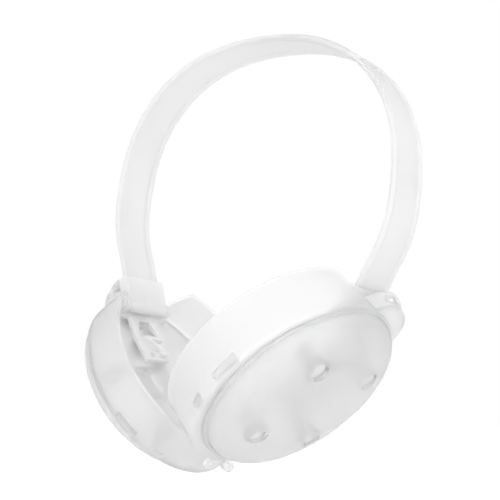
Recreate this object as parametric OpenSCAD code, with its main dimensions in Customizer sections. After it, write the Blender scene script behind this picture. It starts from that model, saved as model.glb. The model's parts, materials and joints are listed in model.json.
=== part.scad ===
// Salon ear guard: two hinged, swivelling ear cups on a sprung headband.
// Seen from the front (-Y), the right cup is at +X and the left cup at -X.
// The origin is on the crown, at the middle of the band's inner face.

/* [Headband] */
// Half of the band's width across the head, to its middle line
band_half_w = 77.8; // [74:0.2:80]
// Height of the crown above the band's widest level
crown_h = 70.4; // [66:0.2:74]
// Depth of the curve below the widest level
lower_h = 62.5; // [60:0.5:65]
// Roundness of the band's curve, where 2 is an ellipse
band_power = 2.3; // [2.2:0.05:2.5]
// Width of the strip
strip_w = 22.8; // [22:0.2:23]
// Thickness of the strip's web
strip_t = 1.7; // [1.2:0.1:2]
// Thickness of the bead along each edge of the strip
bead_t = 3; // [2.4:0.1:3]
// Width of each edge bead
bead_w = 1.6; // [1.2:0.1:2]

/* [Cup hangers] */
// Distance of each tilt axis from the middle plane
foot_x = 60.2; // [59.8:0.2:62]
// Depth of the tilt axes below the band's widest level
foot_drop = 55.1; // [54:0.2:59]
// Lean of the left cup from upright
tilt_left = 36; // [34:0.5:36.5]
// Lean of the right cup from upright
tilt_right = 43.5; // [36:0.5:43.5]
// Forward swing of the left cup
swivel_left = -7; // [-32:0.5:32]
// Forward swing of the right cup
swivel_right = 30; // [-32:0.5:32]

/* [Cups] */
// Diameter of the cup
cup_d = 91.6; // [90:0.2:91.6]
// Distance from the swivel axis to the middle of the cup
cup_drop = 36.6; // [35:0.2:36.6]
// Depth of the skirt, from its rim to the floor
skirt_h = 20.1; // [19.7:0.1:20.5]
// Thickness of the moulded walls
wall = 1.6; // [1.2:0.1:1.8]
// Depth of the tilt axis below the rim
rim_rise = 12.2; // [11.8:0.1:12.4]
// Outer radius of the swivel's housing at its porch
housing_r = 19; // [18.8:0.1:19.6]
// Outer radius of the swivel's housing at the floor
housing_top_r = 17; // [16.8:0.1:17.4]

/* [Covers] */
// Diameter of the domed cover
cover_d = 86.8; // [84:0.2:87]
// Height of the dome
cover_h = 14.4; // [14:0.1:15]
// Shift of the cover towards the swivel
cover_shift = 2.2; // [1.6:0.2:2.4]
// Length of each arm of the post frame
post_arm = 24.4; // [23:0.2:25]
// Distance of each arm from the middle of the cover
post_off = 7; // [6:0.2:8]

/* [Hidden] */
LEFT = -1;
RIGHT = 1;
$fn = 72;
eps = 0.01;

// Heights along the axis of a cup, measured outwards from its tilt axis.
rim_z = -rim_rise;
floor_in = rim_z + skirt_h;
floor_t = 2;
floor_out = floor_in + floor_t;
porch_z = 2;

// Band: the level of its widest point, and its straight legs.
widest_z = bead_t / 2 - crown_h;
leg_from = 28;
leg_join = curve_point(band_half_w, lower_h, -leg_from);
leg_lean = atan2(leg_join[0] - foot_x, leg_join[1] + foot_drop);
leg_up = [sin(leg_lean), cos(leg_lean)];
leg_out = [cos(leg_lean), -sin(leg_lean)];
leg_end = [foot_x, -foot_drop] + 5 * leg_up;

// Hanger: knuckle, lugs, carrier plate and swivel stud.
pin_r = 1.25;
running_fit = 0.05;
knuckle_r = 3;
knuckle_w = 25;
lug_t = 2.4;
lug_gap = 0.3;
lug_in = knuckle_w / 2 + lug_gap;
lug_out = lug_in + lug_t;
shoe_len = 14;
shoe_t = 5.4;
carrier_z = 3.6;
carrier_t = 1.8;
tongue_l = 27;
stud_r = 4;
stud_end = floor_out + 3;
retainer_r = 6.6;
retainer_t = 2;

// Direction of the eyelet from the middle of the cup.
eyelet_turn = 203;

// Notch that lets the leg swing, just wider than the leg at full swivel.
notch_w = 37.6;

// Fixing posts, their bosses in the cover and their pins.
post_top = floor_out + 8;
post_r = 3.4;
boss_r = 5;
boss_floor = 1.4;
recess_r = 3.8;
pin_head_r = 3.4;
pin_shank_r = 1.5;

function tilt(side) = side == LEFT ? tilt_left : tilt_right;
function swivel(side) = side == LEFT ? swivel_left : swivel_right;

// A point on a rounded-square curve with half sizes a and b.
function curve_point(a, b, u) =
  [a * sign(cos(u)) * pow(abs(cos(u)), 2 / band_power),
   b * sign(sin(u)) * pow(abs(sin(u)), 2 / band_power)];

// One edge of the band's side view, from the left leg over the crown to the right leg.
function band_edge(h) = concat(
  [mirrored(leg_end + h * leg_out)],
  [for (u = [leg_from:-7:7]) mirrored(curve_point(band_half_w + h, lower_h + h, -u))],
  [for (u = [180:-5:0]) curve_point(band_half_w + h, crown_h + h, u)],
  [for (u = [7:7:leg_from]) curve_point(band_half_w + h, lower_h + h, -u)],
  [leg_end + h * leg_out]);
function mirrored(p) = [-p[0], p[1]];
function backwards(list) = [for (i = [len(list) - 1:-1:0]) list[i]];

// Frame at the tilt axis: X runs up the leg or cup, Y to the front and Z outwards.
module at_foot(side, lean) {
  mirror([side == LEFT ? 1 : 0, 0, 0])
    translate([foot_x, 0, widest_z - foot_drop])
      rotate([180, lean - 90, 0])
        children();
}

module at_cup(side) {
  at_foot(side, tilt(side))
    rotate([0, 0, -swivel(side)])
      children();
}

module cup_circle(inset) {
  translate([-cup_drop, 0])
    circle(r = cup_d / 2 - inset);
}

// Round housing of the swivel, tapered from its porch to the floor.
module housing(inset) {
  translate([0, 0, porch_z - (inset > 0 ? eps : 0)])
    cylinder(r1 = housing_r - inset, r2 = housing_top_r - inset,
             h = floor_in - porch_z + (inset > 0 ? 2 * eps : 0));
}

module at_arms() {
  translate([cover_shift - cup_drop, 0, 0])
    for (turn = [0:90:270])
      rotate(turn)
        children();
}

module at_posts() {
  at_arms()
    translate([post_arm, -post_off, 0])
      children();
}

// A cylinder along Y, centred on the axis.
module cross_rod(r, w) {
  rotate([90, 0, 0])
    cylinder(r = r, h = w, center = true);
}

// A strip with the band's side view.
module band_strip(t, y_from, w) {
  translate([0, y_from + w, widest_z])
    rotate([90, 0, 0])
      linear_extrude(w)
        polygon(concat(band_edge(t / 2), backwards(band_edge(-t / 2))));
}

module headband() {
  color("whitesmoke") {
    band_strip(strip_t, -strip_w / 2, strip_w);
    band_strip(bead_t, -strip_w / 2, bead_w);
    band_strip(bead_t, strip_w / 2 - bead_w, bead_w);
  }
}

// Flared end piece that holds the leg's end and carries the tilt knuckle.
module shoe(side) {
  top_w = strip_w + 2.2;
  color("gainsboro")
    at_foot(side, leg_lean)
      difference() {
        union() {
          translate([0, 0, -shoe_t / 2])
            linear_extrude(shoe_t)
              polygon([[1, -knuckle_w / 2], [1, knuckle_w / 2],
                       [shoe_len, top_w / 2], [shoe_len, -top_w / 2]]);
          cross_rod(knuckle_r, knuckle_w);
        }
        translate([5, -strip_w / 2 - 0.1, -bead_t / 2 - 0.1])
          cube([shoe_len, strip_w + 0.2, bead_t + 0.2]);
        cross_rod(pin_r + running_fit, knuckle_w + 2);
      }
}

// Headed pin through the shoe's knuckle and the carrier's lugs.
module tilt_pin(side) {
  head_t = 1.2;
  color("silver")
    at_foot(side, tilt(side)) {
      cross_rod(pin_r, 2 * lug_out + 0.4);
      for (y = [-1, 1])
        translate([0, y * (lug_out + 0.2 + head_t / 2), 0])
          cross_rod(2.1, head_t);
    }
}

// Plate with two lugs for the tilt pin, a windowed tongue and the swivel stud.
module carrier(side) {
  color("gainsboro")
    at_foot(side, tilt(side)) {
      difference() {
        translate([0, 0, carrier_z])
          linear_extrude(carrier_t)
            difference() {
              union() {
                circle(r = 10.5);
                translate([-4, -lug_out])
                  square([8, 2 * lug_out]);
                polygon([[0, 9], [-14, 10], [-tongue_l, 7.5],
                         [-tongue_l, -7.5], [-14, -10], [0, -9]]);
              }
              polygon([[-5.5, 3.4], [-14, 7], [-14, -7], [-5.5, -3.4]]);
            }
        translate([-24.5, 3, carrier_z - 1])
          cylinder(r = 1.3, h = carrier_t + 2);
      }
      for (y = [-1, 1])
        translate([0, y * (lug_in + lug_t / 2), 0])
          difference() {
            union() {
              cross_rod(knuckle_r, lug_t);
              translate([-knuckle_r, -lug_t / 2, 0])
                cube([2 * knuckle_r, lug_t, carrier_z + eps]);
            }
            cross_rod(pin_r + 0.02, lug_t + 2);
          }
      translate([0, 0, carrier_z + carrier_t - eps])
        cylinder(r = stud_r, h = stud_end - carrier_z - carrier_t);
    }
}

// A straight bar between two points.
module bar(from, to, w) {
  d = to - from;
  translate(from)
    rotate(atan2(d[1], d[0]))
      translate([-w / 2, -w / 2])
        square([norm(d) + w, w]);
}

// Z-shaped spring catch standing on the carrier's tongue.
module catch(side) {
  catch_h = 2.6;
  color("silver")
    at_foot(side, tilt(side))
      translate([0, 0, carrier_z - catch_h])
        linear_extrude(catch_h) {
          bar([-16.5, -5], [-16.5, 5], 1.6);
          bar([-16.5, 5], [-24.5, -5], 1.6);
          bar([-24.5, -5], [-24.5, -1], 1.6);
        }
}

// Cap that is pressed on the stud behind the floor.
module retainer(side) {
  color("silver")
    at_foot(side, tilt(side))
      difference() {
        union() {
          translate([0, 0, floor_out + 0.3])
            cylinder(r = retainer_r, h = retainer_t);
          translate([0, 0, floor_out + 0.3])
            cylinder(r = 5.6, h = 3.6);
        }
        translate([0, 0, floor_out - 1])
          cylinder(r = stud_r + 0.02, h = stud_end - floor_out + 1);
      }
}

// Side wall of a cup with its housing, notched for the leg and pierced by slots and windows.
module skirt(side) {
  slot_z = floor_in - 3;
  color("whitesmoke")
    at_cup(side)
      difference() {
        union() {
          translate([0, 0, rim_z])
            linear_extrude(skirt_h)
              cup_circle(0);
          housing(0);
        }
        translate([0, 0, rim_z - eps])
          linear_extrude(skirt_h + 2 * eps)
            cup_circle(wall);
        housing(wall);
        translate([-2, -notch_w / 2, rim_z - 1])
          cube([housing_r + 4, notch_w, porch_z - rim_z + 1]);
        for (s = [-1, 1])
          rotate(s * 33)
            translate([13, -4.2, porch_z + 1.6])
              cube([12, 8.4, 3]);
        for (slot = [[116, 12], [140, 6]], s = [-1, 1])
          translate([-cup_drop, 0, slot_z])
            rotate(s * slot[0])
              translate([cup_d / 2 - 6, -slot[1] / 2, 0])
                cube([12, slot[1], 3 + eps]);
      }
}

module eyelet_place() {
  translate([-cup_drop, 0, 0])
    rotate(eyelet_turn)
      translate([cup_d / 2 + 1.2, 0, 0])
        children();
}

// Floor plate with the swivel bearing and an eyelet at its lower end.
module cup_floor(side) {
  bearing_h = floor_in - carrier_z - carrier_t - 0.3;
  color("whitesmoke")
    at_cup(side)
      difference() {
        union() {
          translate([0, 0, floor_in])
            linear_extrude(floor_t) {
              cup_circle(0);
              circle(r = housing_top_r);
              eyelet_place()
                circle(r = 4.2);
            }
          translate([0, 0, floor_in - bearing_h])
            cylinder(r = 7, h = bearing_h + eps);
        }
        translate([0, 0, floor_in - bearing_h - 1])
          cylinder(r = stud_r + running_fit, h = bearing_h + floor_t + 2);
        eyelet_place()
          translate([1, 0, floor_in - 1])
            cylinder(r = 1.6, h = floor_t + 2);
      }
}

// Inner frame behind the cover: four crossing arms, each with a post at its end.
module post_frame(side) {
  rib_t = 1.6;
  rib_h = 5;
  color("gainsboro")
    at_cup(side)
      difference() {
        union() {
          at_posts()
            translate([0, 0, floor_out])
              cylinder(r = post_r, h = post_top - floor_out);
          at_arms()
            translate([-post_off - rib_t / 2, -post_off - rib_t / 2, floor_out])
              cube([post_arm + post_off, rib_t, rib_h]);
        }
        at_posts()
          translate([0, 0, post_top - 5])
            cylinder(r = pin_shank_r, h = 6);
      }
}

// Half of the dome's section: a flat-topped curve.
function dome_section(r, h) = concat([[0, 0]],
  [for (t = [0:7.5:90]) [r * pow(cos(t), 2 / 2.6), h * pow(sin(t), 2 / 2.6)]]);

module dome(inset) {
  translate([cover_shift - cup_drop, 0, 0])
    rotate_extrude()
      polygon(dome_section(cover_d / 2 - inset, cover_h - inset));
}

// Domed cover with four bosses, each recessed for a pin's head.
module cover(side) {
  color("whitesmoke")
    at_cup(side)
      translate([0, 0, floor_out])
        difference() {
          union() {
            difference() {
              dome(0);
              translate([0, 0, -eps])
                dome(wall);
            }
            intersection() {
              dome(0.4);
              at_posts()
                translate([0, 0, post_top - floor_out])
                  cylinder(r = boss_r, h = cover_h);
            }
          }
          at_posts()
            translate([0, 0, post_top - floor_out + boss_floor])
              cylinder(r = recess_r, h = cover_h);
          at_posts()
            cylinder(r = pin_shank_r + 0.1, h = cover_h);
        }
}

// Four headed pins that hold the cover to the posts.
module cover_pins(side) {
  head_t = 1.5;
  color("silver")
    at_cup(side)
      at_posts()
        translate([0, 0, post_top + boss_floor]) {
          cylinder(r = pin_head_r, h = head_t);
          translate([0, 0, -boss_floor - 4])
            cylinder(r = pin_shank_r - 0.02, h = boss_floor + 4 + eps);
        }
}

headband();
shoe(LEFT);  // left_shoe
tilt_pin(LEFT);  // left_tilt_pin
carrier(LEFT);  // left_carrier
catch(LEFT);  // left_catch
retainer(LEFT);  // left_retainer
skirt(LEFT);  // left_skirt
cup_floor(LEFT);  // left_floor
post_frame(LEFT);  // left_post_frame
cover(LEFT);  // left_cover
cover_pins(LEFT);  // left_cover_pins
shoe(RIGHT);  // right_shoe
tilt_pin(RIGHT);  // right_tilt_pin
carrier(RIGHT);  // right_carrier
catch(RIGHT);  // right_catch
retainer(RIGHT);  // right_retainer
skirt(RIGHT);  // right_skirt
cup_floor(RIGHT);  // right_floor
post_frame(RIGHT);  // right_post_frame
cover(RIGHT);  // right_cover
cover_pins(RIGHT);  // right_cover_pins
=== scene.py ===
"""Looks of a translucent salon ear guard: frosted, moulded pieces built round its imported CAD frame."""
import json
import math

import bmesh
import bpy
import numpy as np
from mathutils import Matrix, Vector


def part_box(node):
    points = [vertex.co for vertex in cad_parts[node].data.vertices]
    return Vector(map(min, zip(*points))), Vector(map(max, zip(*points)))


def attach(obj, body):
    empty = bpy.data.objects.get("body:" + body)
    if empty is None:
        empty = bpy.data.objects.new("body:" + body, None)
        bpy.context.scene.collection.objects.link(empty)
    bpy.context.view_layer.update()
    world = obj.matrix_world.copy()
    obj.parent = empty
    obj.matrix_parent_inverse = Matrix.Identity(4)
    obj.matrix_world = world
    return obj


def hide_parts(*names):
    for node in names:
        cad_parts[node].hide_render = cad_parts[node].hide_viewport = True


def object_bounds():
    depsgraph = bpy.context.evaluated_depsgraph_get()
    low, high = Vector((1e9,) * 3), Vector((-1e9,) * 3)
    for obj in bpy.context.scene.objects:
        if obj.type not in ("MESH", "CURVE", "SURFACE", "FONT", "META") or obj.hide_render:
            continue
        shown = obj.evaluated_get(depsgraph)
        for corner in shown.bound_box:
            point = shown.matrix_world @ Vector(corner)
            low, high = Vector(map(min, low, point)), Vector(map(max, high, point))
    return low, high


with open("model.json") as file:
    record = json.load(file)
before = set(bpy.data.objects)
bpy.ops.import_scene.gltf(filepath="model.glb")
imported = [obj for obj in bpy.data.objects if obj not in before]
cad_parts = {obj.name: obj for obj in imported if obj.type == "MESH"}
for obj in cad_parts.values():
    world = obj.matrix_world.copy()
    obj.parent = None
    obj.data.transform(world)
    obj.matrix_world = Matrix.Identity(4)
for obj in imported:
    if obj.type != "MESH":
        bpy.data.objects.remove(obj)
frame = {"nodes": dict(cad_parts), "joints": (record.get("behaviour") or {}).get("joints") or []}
cad_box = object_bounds()

MM = 0.001
SIDES = ("left", "right")
JOINTS = {joint["name"]: joint for joint in frame["joints"]}

# Band, in millimetres: a rounded curve about its widest level, then straight legs.
BAND_POWER = 2.3
BAND_CROWN = 70.4
BAND_LOWER = 62.5
BAND_LEG_FROM = 28
SHOE_MOUTH = 5.2
BAND_W = 22.8
BEAD_T = 3.0
BEAD_R = 1.35
WEB_T = 1.5
WEB_BULGE = 0.65

# Cups, in millimetres, on axes that start at the swivel: X up the cup, Y across it, Z outwards.
CUP_R = 45.8
CUP_DROP = 36.6
WALL_T = 1.6
HOUSING_R = 19.0
HOUSING_TOP_R = 17.0
RIM_Z = -12.2
FLOOR_IN = 7.9
FLOOR_OUT = 9.9
PORCH_Z = 2.0
NOTCH_Y = (18.8, 26.0)
FLOOR_RIM = 4.2
SLOTS = ((116, 12.5), (140, 6.5))
SLOT_H = 3.0
WINDOW_TURN = 33
WINDOW_X = 19.0
WINDOW_H = 3.0
STUD_BORE_R = 4.05
BEARING_R = 7.0
BEARING_Z = 5.7
EYELET_R = 4.2
EYELET_REACH = 1.2
EYELET_TURN = 203
EYE_R = 1.6

# Cover, in millimetres.
COVER_R = 43.4
COVER_H = 14.4
COVER_SHIFT = 2.2
COVER_T = 1.6
COVER_LIP = 1.2
DOME_POWER = 2.6
POST_ARM = 24.4
POST_OFF = 7.0
BOSS_R = 5.0
BOSS_Z = 8.0
RECESS_R = 3.8
RECESS_Z = 9.4
PIN_HOLE_R = 1.6
THROUGH = 20

# Plastics: refraction, gloss, the frost's strength, depth in millimetres and noise scale, and the
# noise scale of the flow marks.
PLASTIC_IOR = 1.18
PLASTIC_SPECULAR = 0.45
FROST = 0.12
FROST_DEPTH = 0.05
FROST_SCALE = 1500.0
FLOW_SCALE = 24.0

# Viewpoint: focal length and shifts over the image's width, angles in degrees, distance in metres.
FOCAL_RATIO = 2.0492
SHIFT = (-0.013, -0.1136)
AZIMUTH, ELEVATION, ROLL = 38.94, -10.75, 6.56
DISTANCE = 0.467

# Light: strength of the surround as it lights the object and as the camera sees it, where the
# lights aim, in metres, and the floor's half width and depth below the object, in millimetres.
SURROUND = 0.89
BACKDROP = 1.0
LIGHT_AIM = Vector((0, 0, -0.11))
FLOOR_HALF = 3000
FLOOR_GAP = 0.5


def cup_matrix(side):
    """Axes of a cup at rest in the row frame: a 4 by 4 matrix in metres."""
    sign = -1 if side == "left" else 1
    joint = JOINTS[side + "_swivel"]
    outward = (Vector(joint["axis"]) * -sign).normalized()
    up = Vector((-outward.z, 0, outward.x)) * sign
    front = Vector((0, -1, 0))
    # The cup hangs straight in the middle of its swivel's range, and rest is at zero.
    swing = -math.radians(sum(joint["range_deg"]) / 2)
    along = up * math.cos(swing) - front * math.sin(swing)
    across = up * math.sin(swing) + front * math.cos(swing)
    matrix = Matrix((along, across, outward)).transposed().to_4x4()
    matrix.translation = Vector(joint["pos_m"])
    return matrix


# Mesh helpers. Shapes are drawn in millimetres on local axes, then placed in metres.

def piece_from(name, vertices, faces, matrix=None, smooth=True):
    mesh = bpy.data.meshes.new(name)
    mesh.from_pydata([Vector(v) * MM for v in vertices], [], faces)
    piece = bpy.data.objects.new(name, mesh)
    bpy.context.scene.collection.objects.link(piece)
    if matrix is not None:
        mesh.transform(matrix)
    tidy_mesh(mesh, smooth)
    return piece


def tidy_mesh(mesh, smooth=True):
    """Joins doubled points, turns all faces outwards and shades them."""
    work = bmesh.new()
    work.from_mesh(mesh)
    bmesh.ops.remove_doubles(work, verts=work.verts, dist=1e-6)
    bmesh.ops.recalc_face_normals(work, faces=work.faces)
    for face in work.faces:
        face.smooth = smooth
    work.to_mesh(mesh)
    work.free()


def ring_faces(rings, size, closed=True):
    """Quads between equal rings of points; closed joins the last ring to the first."""
    faces = []
    for i in range(rings if closed else rings - 1):
        j = (i + 1) % rings
        for k in range(size):
            m = (k + 1) % size
            faces.append((i * size + k, i * size + m, j * size + m, j * size + k))
    return faces


def prism(outline, low, high):
    """Vertices and faces of an upright prism."""
    count = len(outline)
    vertices = [(x, y, low) for x, y in outline] + [(x, y, high) for x, y in outline]
    faces = [(i, (i + 1) % count, count + (i + 1) % count, count + i) for i in range(count)]
    faces += [tuple(range(count)), tuple(range(count, 2 * count))]
    return vertices, faces


def block(name, outline, low, high, matrix):
    """A flat-shaded upright prism on a cup's axes."""
    return piece_from(name, *prism(outline, low, high), matrix, smooth=False)


def circle(radius, x=0.0, y=0.0, count=48):
    angles = [2 * math.pi * i / count for i in range(count)]
    return [(x + radius * math.cos(a), y + radius * math.sin(a)) for a in angles]


def rounded_box(length, width, radius, x, y, turn, steps=5):
    """Outline of a rounded rectangle centred at x, y and turned by an angle."""
    points = []
    for corner in range(4):
        cx = (length / 2 - radius) * (1 if corner in (0, 3) else -1)
        cy = (width / 2 - radius) * (1 if corner in (0, 1) else -1)
        for i in range(steps + 1):
            a = math.pi / 2 * (corner + i / steps)
            px, py = cx + radius * math.cos(a), cy + radius * math.sin(a)
            points.append((x + px * math.cos(turn) - py * math.sin(turn),
                           y + px * math.sin(turn) + py * math.cos(turn)))
    return points


def apply_modifiers(piece):
    graph = bpy.context.evaluated_depsgraph_get()
    mesh = bpy.data.meshes.new_from_object(piece.evaluated_get(graph))
    piece.modifiers.clear()
    old = piece.data
    piece.data = mesh
    bpy.data.meshes.remove(old)
    for polygon in mesh.polygons:
        polygon.use_smooth = True


def combine(piece, others, operation):
    """Cuts other meshes from a piece, or joins them to it, and removes them."""
    for other in others:
        modifier = piece.modifiers.new("combine", "BOOLEAN")
        modifier.operation = operation
        modifier.solver = "EXACT"
        modifier.object = other
    bpy.context.view_layer.update()
    apply_modifiers(piece)
    for other in others:
        bpy.data.objects.remove(other)


def soften(piece, width_mm, segments=2, angle=35):
    """Rounds a piece's sharp edges, as a moulding has."""
    bevel = piece.modifiers.new("moulded edges", "BEVEL")
    bevel.width = width_mm * MM
    bevel.segments = segments
    bevel.limit_method = "ANGLE"
    bevel.angle_limit = math.radians(angle)
    bevel.use_clamp_overlap = True
    bevel.harden_normals = True
    for polygon in piece.data.polygons:
        polygon.use_smooth = True


# Materials. Each is one plastic with flow marks, a fine frost and its own clearness.

def plastic(name, colour, deep, clearness, roughness):
    """Frosted plastic whose tint, from deep to colour, and roughness drift with its flow marks."""
    material = bpy.data.materials.new(name)
    material.use_nodes = True
    tree = material.node_tree
    shader = tree.nodes["Principled BSDF"]
    shader.inputs["Transmission Weight"].default_value = clearness
    shader.inputs["IOR"].default_value = PLASTIC_IOR
    shader.inputs["Specular IOR Level"].default_value = PLASTIC_SPECULAR
    place = tree.nodes.new("ShaderNodeTexCoord")

    flow = tree.nodes.new("ShaderNodeTexNoise")
    flow.inputs["Scale"].default_value = FLOW_SCALE
    flow.inputs["Detail"].default_value = 3.0
    flow.inputs["Distortion"].default_value = 0.8
    tree.links.new(place.outputs["Object"], flow.inputs["Vector"])
    tint = tree.nodes.new("ShaderNodeValToRGB")
    tint.color_ramp.elements[0].position = 0.30
    tint.color_ramp.elements[0].color = (*deep, 1)
    tint.color_ramp.elements[1].position = 0.72
    tint.color_ramp.elements[1].color = (*colour, 1)
    tree.links.new(flow.outputs["Fac"], tint.inputs["Fac"])
    tree.links.new(tint.outputs["Color"], shader.inputs["Base Color"])

    grain = tree.nodes.new("ShaderNodeTexNoise")
    grain.inputs["Scale"].default_value = FROST_SCALE
    grain.inputs["Detail"].default_value = 4.0
    tree.links.new(place.outputs["Object"], grain.inputs["Vector"])
    bump = tree.nodes.new("ShaderNodeBump")
    bump.inputs["Strength"].default_value = FROST
    bump.inputs["Distance"].default_value = FROST_DEPTH * MM
    tree.links.new(grain.outputs["Fac"], bump.inputs["Height"])
    tree.links.new(bump.outputs["Normal"], shader.inputs["Normal"])

    # Contour lines showed in renders while these ranges began at 0.14 to 0.24. They went when the
    # ranges were raised, but other looks changed in that edit too, so the cause is unproven.
    spread = tree.nodes.new("ShaderNodeMapRange")
    spread.inputs["To Min"].default_value = roughness - 0.03
    spread.inputs["To Max"].default_value = roughness + 0.07
    tree.links.new(flow.outputs["Fac"], spread.inputs["Value"])
    tree.links.new(spread.outputs["Result"], shader.inputs["Roughness"])
    return material


def dress(piece, material, body=None, nodes=()):
    """Gives a piece its material and slot, parents it to its body, and hides the CAD nodes that it
    stands for.
    """
    piece.data.materials.clear()
    piece.data.materials.append(material)
    if body:
        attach(piece, body)
    if nodes:
        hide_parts(*nodes)


# Headband

def curve_point(a, b, degrees):
    c, s = math.cos(math.radians(degrees)), math.sin(math.radians(degrees))
    power = 2 / BAND_POWER
    return Vector((math.copysign(abs(c) ** power, c) * a, math.copysign(abs(s) ** power, s) * b))


def band_path():
    """Middle line of the band from the left leg's end to the right's, as points in X and Z."""
    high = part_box("headband")[1]
    half = high.x / MM - BEAD_T / 2
    crown = high.z / MM - BEAD_T / 2
    level = crown - BAND_CROWN
    foot = Vector(JOINTS["right_tilt"]["pos_m"]) / MM
    join = curve_point(half, BAND_LOWER, -BAND_LEG_FROM) + Vector((0, level))
    end = Vector((foot.x, foot.z))
    leg = join - end
    end += leg.normalized() * SHOE_MOUTH
    right = [curve_point(half, crown - level, 90 - i * 1.5) + Vector((0, level)) for i in range(61)]
    below = range(2, BAND_LEG_FROM, 2)
    right += [curve_point(half, BAND_LOWER, -i) + Vector((0, level)) for i in below]
    right += [join.lerp(end, i / 12) for i in range(13)]
    left = [Vector((-p.x, p.y)) for p in reversed(right[1:])]
    return ease(left + right)


def ease(points, rounds=3):
    """Evens out the bends of an open line and keeps its ends."""
    for _ in range(rounds):
        inner = [(a + b * 2 + c) / 4 for a, b, c in zip(points, points[1:], points[2:])]
        points = [points[0]] + inner + [points[-1]]
    return points


def band_section():
    """Closed section of the strip: distance across it, and height outwards."""
    edge = BAND_W / 2 - BEAD_R
    reach = edge - BEAD_R * 0.80
    ys = np.linspace(-reach, reach, 13)
    bulge = [WEB_BULGE * (1 - (y / reach) ** 2) - 0.15 for y in ys]
    section = [(y, b + WEB_T / 2) for y, b in zip(ys, bulge)]
    arc = [math.radians(a) for a in range(130, -131, -26)]
    section += [(edge + BEAD_R * math.cos(a), BEAD_R * math.sin(a)) for a in arc]
    section += [(y, b - WEB_T / 2) for y, b in zip(reversed(ys), reversed(bulge))]
    section += [(-edge - BEAD_R * math.cos(a), -BEAD_R * math.sin(a)) for a in arc]
    return section


def headband(material):
    """The strip, swept along the band's middle line and closed at both ends."""
    path = band_path()
    section = band_section()
    vertices = []
    for i, point in enumerate(path):
        along = (path[min(i + 1, len(path) - 1)] - path[max(i - 1, 0)]).normalized()
        out = Vector((-along.y, along.x))
        for y, height in section:
            spot = point + out * height
            vertices.append((spot.x, y, spot.y))
    faces = ring_faces(len(path), len(section), closed=False)
    faces.append(tuple(range(len(section))))
    faces.append(tuple(range(len(vertices) - len(section), len(vertices))))
    band = piece_from("band_strip", vertices, faces)
    dress(band, material, "headband", ["headband"])


# Cups

def skirt_top(x, y):
    """Height of the skirt's edge: the rim, cut back to the porch across the leg's notch."""
    step = (NOTCH_Y[1] - abs(y)) / (NOTCH_Y[1] - NOTCH_Y[0]) if x > -CUP_DROP else 0
    step = min(max(step, 0), 1)
    return RIM_Z + (PORCH_Z + 0.5 - RIM_Z) * step * step * (3 - 2 * step)


def skirt_section(top):
    """Closed section of the wall and the floor's rim: distance in from the outline, and height."""
    lip, wall, turn = 1.0, WALL_T, 1.5
    bead = [math.radians(a) for a in range(180, 361, 30)]
    section = [(lip + lip * math.cos(a), top + lip + lip * math.sin(a)) for a in bead]
    section.append((wall, top + 2.2))
    start = FLOOR_OUT - turn
    inner_end = FLOOR_IN - 1.2
    section += [(wall + 0.1, top + 2.2 + (inner_end - top - 2.2) * f) for f in (0.33, 0.66, 1)]
    section += [(wall + 0.5, FLOOR_IN - 0.3), (wall + 1.2, FLOOR_IN), (FLOOR_RIM, FLOOR_IN)]
    section += [(FLOOR_RIM, FLOOR_OUT - 0.3), (FLOOR_RIM - 0.3, FLOOR_OUT)]
    corner = [math.radians(a) for a in range(90, 181, 15)]
    section += [(0.15 + turn + turn * math.cos(a), start + turn * math.sin(a)) for a in corner]
    section += [(0.15, start + (top + 2.0 - start) * f) for f in (0.33, 0.66, 1)]
    return section


def revolve(name, profile, matrix, count=96):
    """A closed ring turned about the swivel's axis."""
    vertices = []
    for i in range(count):
        a = 2 * math.pi * i / count
        vertices += [(r * math.cos(a), r * math.sin(a), z) for r, z in profile]
    return piece_from(name, vertices, ring_faces(count, len(profile)), matrix)


def crease(piece, angle=35):
    """Keeps the edges between joined surfaces crisp."""
    piece.data.set_sharp_from_angle(angle=math.radians(angle))


def housing(matrix):
    """Tapered wall round the swivel, from its rounded porch to the floor, with two windows."""
    rise = FLOOR_IN - PORCH_Z
    steps = [i / 8 for i in range(1, 9)]
    taper = HOUSING_R - HOUSING_TOP_R
    inside_r = HOUSING_R - WALL_T
    outer = [(HOUSING_R - 0.45, PORCH_Z + 0.02), (HOUSING_R - 0.05, PORCH_Z + 0.3)]
    outer += [(HOUSING_R - taper * f + 0.4 * math.sin(math.pi * f), PORCH_Z + rise * f) for f in steps]
    outer.append((HOUSING_TOP_R, FLOOR_IN + 0.2))
    inner = [(HOUSING_TOP_R - WALL_T, FLOOR_IN + 0.2)]
    inner += [(inside_r - taper * f + 0.3 * math.sin(math.pi * f), PORCH_Z + rise * f)
              for f in reversed(steps)]
    inner += [(HOUSING_R - 1.55, PORCH_Z + 0.3), (HOUSING_R - 1.15, PORCH_Z + 0.02)]
    shell = revolve("housing", outer + inner, matrix)
    cup_space = circle(CUP_R - 1.5, -CUP_DROP, count=120)
    cutters = [block("cup_space", cup_space, RIM_Z, THROUGH, matrix)]
    for sign in (-1, 1):
        turn = math.radians(WINDOW_TURN * sign)
        x, y = WINDOW_X * math.cos(turn), WINDOW_X * math.sin(turn)
        outline = rounded_box(12, 8.4, 1.0, x, y, turn)
        low = PORCH_Z + 1.6
        cutters.append(block("window", outline, low, low + WINDOW_H, matrix))
    combine(shell, cutters, "DIFFERENCE")
    return shell


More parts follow.
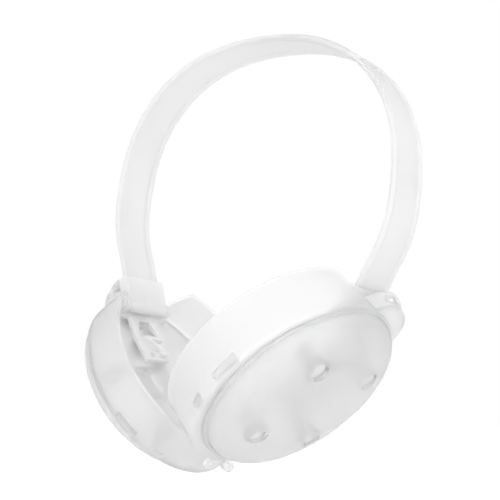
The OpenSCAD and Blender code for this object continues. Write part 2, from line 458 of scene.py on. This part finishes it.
def slot_cutter(degrees, length, matrix):
    """A rounded slot through the wall, in a direction from the cup's middle, against the floor."""
    turn = math.radians(degrees)
    x, y = CUP_R * math.cos(turn) - CUP_DROP, CUP_R * math.sin(turn)
    box, faces = prism(rounded_box(length, SLOT_H, 1.0, 0, 0, 0), -5, 5)
    along = Vector((-math.sin(turn), math.cos(turn), 0))
    out = Vector((math.cos(turn), math.sin(turn), 0))
    spin = Matrix((along, Vector((0, 0, 1)), out)).transposed()
    centre = Vector((x, y, FLOOR_IN - SLOT_H / 2))
    placed = [spin @ Vector(v) + centre for v in box]
    return piece_from("slot", placed, faces, matrix, smooth=False)


def skirt(side, material):
    """Wall of a cup with a rounded lip, a low porch under the leg, and slots along the floor."""
    count = 480
    vertices = []
    for i in range(count):
        a = 2 * math.pi * i / count
        x, y = CUP_R * math.cos(a) - CUP_DROP, CUP_R * math.sin(a)
        section = skirt_section(skirt_top(x, y))
        for distance, height in section:
            r = CUP_R - distance
            vertices.append((r * math.cos(a) - CUP_DROP, r * math.sin(a), height))
    matrix = cup_matrix(side)
    piece = piece_from(side + "_skirt_wall", vertices, ring_faces(count, len(section)), matrix)
    inside = [(0.01, PORCH_Z - 0.6), (HOUSING_R - 1.2, PORCH_Z - 0.6)]
    inside += [(HOUSING_TOP_R - 1.2, FLOOR_IN + 0.1), (HOUSING_TOP_R, FLOOR_IN + 0.1)]
    inside += [(HOUSING_TOP_R, 14), (0.01, 14)]
    cutters = [revolve("inside", inside, matrix)]
    for degrees, length in SLOTS:
        for sign in (-1, 1):
            cutters.append(slot_cutter(degrees * sign, length, matrix))
    combine(piece, cutters, "DIFFERENCE")
    combine(piece, [housing(matrix)], "UNION")
    crease(piece)
    dress(piece, material, side + "_cup", [side + "_skirt"])


def cup_floor(side, material):
    """Floor plate with the swivel's bearing, and the eyelet on its edge."""
    matrix = cup_matrix(side)
    disc = circle(CUP_R - 4.15, -CUP_DROP, count=160)
    plate = block(side + "_floor_plate", disc, FLOOR_IN + 0.05, FLOOR_OUT - 0.05, matrix)
    cap_outline = circle(HOUSING_TOP_R - 0.05, count=96)
    cap = block("cap", cap_outline, FLOOR_IN + 0.25, FLOOR_OUT - 0.08, matrix)
    bearing = block("bearing", circle(BEARING_R), BEARING_Z, FLOOR_OUT - 0.3, matrix)
    combine(plate, [cap, bearing], "UNION")
    combine(plate, [block("bore", circle(STUD_BORE_R), 0, THROUGH, matrix)], "DIFFERENCE")
    soften(plate, 0.35)
    dress(plate, material, side + "_cup", [side + "_floor"])

    turn = math.radians(EYELET_TURN)
    reach = CUP_R + EYELET_REACH
    x, y = reach * math.cos(turn) - CUP_DROP, reach * math.sin(turn)
    ring = circle(EYELET_R - 0.1, x, y)
    eyelet = block(side + "_eyelet", ring, FLOOR_IN + 0.1, FLOOR_OUT - 0.1, matrix)
    eye = block("eye", circle(EYE_R, x + math.cos(turn), y + math.sin(turn)), 0, THROUGH, matrix)
    inner = block("inner", circle(CUP_R - 1.2, -CUP_DROP, count=96), 0, THROUGH, matrix)
    combine(eyelet, [eye, inner], "DIFFERENCE")
    soften(eyelet, 0.6, 3)
    dress(eyelet, material, side + "_cup")


def dome_section(radius, height, steps=36):
    """Half section of the dome from its edge to its top."""
    power = 2 / DOME_POWER
    turns = [math.pi / 2 * i / steps for i in range(steps + 1)]
    return [(radius * math.cos(t) ** power if t < math.pi / 2 - 1e-6 else 0.0,
             height * math.sin(t) ** power) for t in turns]


def cover(side, material):
    """Domed cover: an edge lip, a groove inside it, and recessed bosses for the pins."""
    matrix = cup_matrix(side)
    lip = [(COVER_R - 1.9, 0.0), (COVER_R - 0.3, 0.0), (COVER_R, 0.35), (COVER_R, 1.0)]
    lip += [(COVER_R - 0.3, 1.35), (COVER_R - 0.9, 1.4), (COVER_R - 1.25, 1.05), (COVER_R - 1.5, 1.3)]
    dome_r = COVER_R - COVER_LIP
    inside_dome = dome_section(dome_r - COVER_T, COVER_H - COVER_T)
    outer = [(r, h) for r, h in dome_section(dome_r, COVER_H) if h > 2.2]
    inner = [(r, h) for r, h in reversed(inside_dome) if h > 1.5]
    section = lip + outer + inner
    count = 160
    centre = COVER_SHIFT - CUP_DROP
    vertices = []
    for i in range(count):
        a = 2 * math.pi * i / count
        vertices += [(centre + r * math.cos(a), r * math.sin(a), FLOOR_OUT + h) for r, h in section]
    piece = piece_from(side + "_domed_cover", vertices, ring_faces(count, len(section)), matrix)
    arms = ((POST_ARM, -POST_OFF), (POST_OFF, POST_ARM), (-POST_ARM, POST_OFF), (-POST_OFF, -POST_ARM))
    spots = [(centre + x, y) for x, y in arms]
    low, high = FLOOR_OUT + BOSS_Z, FLOOR_OUT + COVER_H * 0.80
    bosses = [block("boss", circle(BOSS_R, x, y), low, high, matrix) for x, y in spots]
    combine(piece, bosses, "UNION")
    low, high = FLOOR_OUT + RECESS_Z, FLOOR_OUT + THROUGH
    cutters = [block("recess", circle(RECESS_R, x, y), low, high, matrix) for x, y in spots]
    cutters += [block("hole", circle(PIN_HOLE_R, x, y, 24), FLOOR_OUT, high, matrix) for x, y in spots]
    combine(piece, cutters, "DIFFERENCE")
    soften(piece, 0.35, 2, 40)
    dress(piece, material, side + "_cup", [side + "_cover"])


def finish_cad_nodes(materials):
    """Rounded edges and materials for the small mechanical pieces, which keep their CAD shape."""
    looks = {
        "shoe": ("shoe_plastic", 0.5),
        "tilt_pin": ("pin_plastic", 0.35),
        "carrier": ("shoe_plastic", 0.35),
        "catch": ("pin_plastic", 0.3),
        "retainer": ("pin_plastic", 0.4),
        "post_frame": ("frame_plastic", 0.3),
        "cover_pins": ("pin_plastic", 0.35),
    }
    for side in SIDES:
        for part, (slot, width) in looks.items():
            node = frame["nodes"][f"{side}_{part}"]
            soften(node, width)
            node.data.materials.clear()
            node.data.materials.append(materials[slot])


# Studio

def camera():
    """The viewpoint: to the right of the front, and low, so that it looks a little upwards."""
    azimuth, elevation, roll = (math.radians(a) for a in (AZIMUTH, ELEVATION, ROLL))
    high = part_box("headband")[1]
    aim = Vector((0, 0, high.z - (BAND_CROWN + BEAD_T / 2) * MM))
    level = math.cos(elevation)
    back = Vector((math.sin(azimuth) * level, -math.cos(azimuth) * level, math.sin(elevation)))
    flat_right = Vector((0, 0, 1)).cross(back).normalized()
    flat_up = back.cross(flat_right)
    right = flat_right * math.cos(roll) + flat_up * math.sin(roll)
    up = flat_up * math.cos(roll) - flat_right * math.sin(roll)
    data = bpy.data.cameras.new("camera")
    data.lens = data.sensor_width * FOCAL_RATIO
    data.shift_x, data.shift_y = SHIFT
    obj = bpy.data.objects.new("camera", data)
    bpy.context.scene.collection.objects.link(obj)
    obj.matrix_world = Matrix((right, up, back)).transposed().to_4x4()
    obj.matrix_world.translation = aim + back * DISTANCE
    bpy.context.scene.camera = obj


def area_light(name, place, size, power):
    """A square soft light aimed at the object."""
    data = bpy.data.lights.new(name, "AREA")
    data.energy = power
    data.size = size
    obj = bpy.data.objects.new(name, data)
    bpy.context.scene.collection.objects.link(obj)
    obj.location = place
    obj.rotation_euler = (LIGHT_AIM - Vector(place)).to_track_quat("-Z", "Y").to_euler()


def studio():
    """An even white surround, three soft lights and a pale floor."""
    world = bpy.data.worlds.new("studio")
    bpy.context.scene.world = world
    world.use_nodes = True
    tree = world.node_tree
    sky = tree.nodes["Background"]
    sky.inputs["Color"].default_value = (1, 1, 1, 1)
    place = tree.nodes.new("ShaderNodeTexCoord")
    split = tree.nodes.new("ShaderNodeSeparateXYZ")
    tree.links.new(place.outputs["Generated"], split.inputs["Vector"])
    # Both ends of the fall are level. Without the link, though, the object renders a little darker.
    fall = tree.nodes.new("ShaderNodeMapRange")
    fall.inputs["From Min"].default_value = -0.9
    fall.inputs["From Max"].default_value = 0.6
    fall.inputs["To Min"].default_value = SURROUND
    fall.inputs["To Max"].default_value = SURROUND
    tree.links.new(split.outputs["Z"], fall.inputs["Value"])
    sight = tree.nodes.new("ShaderNodeLightPath")
    pick = tree.nodes.new("ShaderNodeMix")
    tree.links.new(sight.outputs["Is Camera Ray"], pick.inputs["Factor"])
    tree.links.new(fall.outputs["Result"], pick.inputs["A"])
    pick.inputs["B"].default_value = BACKDROP
    tree.links.new(pick.outputs["Result"], sky.inputs["Strength"])
    area_light("key", (0.25, -0.30, 0.45), 0.35, 0.3)
    area_light("fill", (-0.5, -0.5, 0.1), 0.5, 0.2)
    area_light("front", (0.42, -0.42, -0.05), 0.4, 1.35)

    level = cad_box[0][2] / MM - FLOOR_GAP
    corners = ((-1, -1), (1, -1), (1, 1), (-1, 1))
    vertices = [(x * FLOOR_HALF, y * FLOOR_HALF, level) for x, y in corners]
    floor = piece_from("floor", vertices, [(0, 1, 2, 3)])
    paper = bpy.data.materials.new("paper")
    paper.use_nodes = True
    shader = paper.node_tree.nodes["Principled BSDF"]
    shader.inputs["Base Color"].default_value = (0.2, 0.2, 0.2, 1)
    shader.inputs["Roughness"].default_value = 1.0
    shader.inputs["Emission Color"].default_value = (1, 1, 1, 1)
    shader.inputs["Emission Strength"].default_value = 0.9
    floor.data.materials.append(paper)
    scene = bpy.context.scene
    scene.view_settings.view_transform = "Standard"
    scene.cycles.max_bounces = 32
    scene.cycles.transmission_bounces = 32
    scene.cycles.diffuse_bounces = 8


def main():
    # Each plastic's light tint, deep tint, clearness and roughness.
    looks = {
        "band_plastic": ((0.91, 0.91, 0.912), (0.875, 0.875, 0.877), 0.62, 0.31),
        "shoe_plastic": ((0.985, 0.985, 0.987), (0.96, 0.96, 0.962), 0.45, 0.32),
        "cup_plastic": ((0.963, 0.963, 0.965), (0.93, 0.93, 0.932), 0.76, 0.33),
        "cover_plastic": ((0.958, 0.958, 0.961), (0.908, 0.908, 0.912), 0.76, 0.33),
        "frame_plastic": ((0.96, 0.96, 0.962), (0.92, 0.92, 0.922), 0.55, 0.32),
        "pin_plastic": ((0.97, 0.97, 0.972), (0.94, 0.94, 0.942), 0.35, 0.32),
    }
    materials = {name: plastic(name, *look) for name, look in looks.items()}
    camera()
    headband(materials["band_plastic"])
    for side in SIDES:
        skirt(side, materials["cup_plastic"])
        cup_floor(side, materials["cup_plastic"])
        cover(side, materials["cover_plastic"])
    finish_cad_nodes(materials)
    studio()


main()
